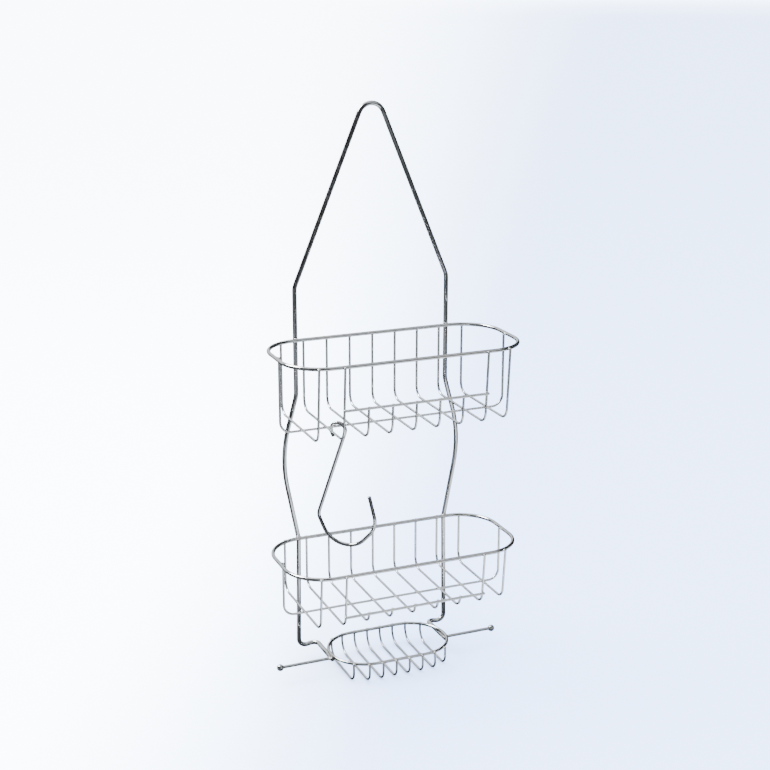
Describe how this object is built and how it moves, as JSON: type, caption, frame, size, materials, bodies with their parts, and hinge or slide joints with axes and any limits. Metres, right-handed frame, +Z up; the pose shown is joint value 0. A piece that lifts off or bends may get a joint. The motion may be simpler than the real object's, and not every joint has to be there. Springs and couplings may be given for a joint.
{
  "type": "shower caddy",
  "caption": "Hanging chrome wire shower caddy: deep upper basket, shallow lower basket, oval soap dish, cloth bars with ball tips, and a loose S-hook that swings.",
  "frame": {"origin": "the hanger's saddle: the lowest point of metal inside the top bend, where the caddy bears on the shower arm, in the middle of the frame wire", "axes": "+Z up, +X along the baskets towards the right as seen from the shower, -Y out from the wall; the frame wire lies in the plane Y = 0"},
  "size_m": [0.264, 0.1281, 0.6143],
  "materials": {
    "chrome_heavy_wire": "bright chrome plate on drawn steel wire",
    "chrome_grid_wire": "bright chrome plate on thin drawn wire",
    "chrome_fittings": "bright chrome plate, darker at the ends"
  },
  "bodies": {
    "caddy": {"dish_cross_wire_1": "chrome_grid_wire", "dish_cross_wire_2": "chrome_grid_wire", "dish_cross_wire_3": "chrome_grid_wire", "dish_cross_wire_4": "chrome_grid_wire", "dish_cross_wire_5": "chrome_grid_wire", "dish_cross_wire_6": "chrome_grid_wire", "dish_cross_wire_7": "chrome_grid_wire", "dish_cross_wire_8": "chrome_grid_wire", "dish_rim": "chrome_heavy_wire", "frame_wire": "chrome_heavy_wire", "left_bar_ball": "chrome_fittings", "left_cloth_bar": "chrome_fittings", "lower_cross_wire_1": "chrome_grid_wire", "lower_cross_wire_2": "chrome_grid_wire", "lower_cross_wire_3": "chrome_grid_wire", "lower_cross_wire_4": "chrome_grid_wire", "lower_cross_wire_5": "chrome_grid_wire", "lower_cross_wire_6": "chrome_grid_wire", "lower_cross_wire_7": "chrome_grid_wire", "lower_cross_wire_8": "chrome_grid_wire", "lower_cross_wire_9": "chrome_grid_wire", "lower_front_rail": "chrome_grid_wire", "lower_long_wire": "chrome_grid_wire", "lower_rim": "chrome_heavy_wire", "right_bar_ball": "chrome_fittings", "right_cloth_bar": "chrome_fittings", "upper_cross_wire_1": "chrome_grid_wire", "upper_cross_wire_2": "chrome_grid_wire", "upper_cross_wire_3": "chrome_grid_wire", "upper_cross_wire_4": "chrome_grid_wire", "upper_cross_wire_5": "chrome_grid_wire", "upper_cross_wire_6": "chrome_grid_wire", "upper_cross_wire_7": "chrome_grid_wire", "upper_cross_wire_8": "chrome_grid_wire", "upper_cross_wire_9": "chrome_grid_wire", "upper_front_rail": "chrome_grid_wire", "upper_long_wire": "chrome_grid_wire", "upper_rim": "chrome_heavy_wire"},
    "s_hook": {"s_hook": "chrome_fittings"}
  },
  "joints": [
    {"name": "s_hook_swing", "type": "hinge", "parent": "caddy", "child": "s_hook", "pos_m": [-0.0634, -0.06275, -0.32045], "axis": [1, 0, 0], "range_deg": [-90, 24]}
  ]
}
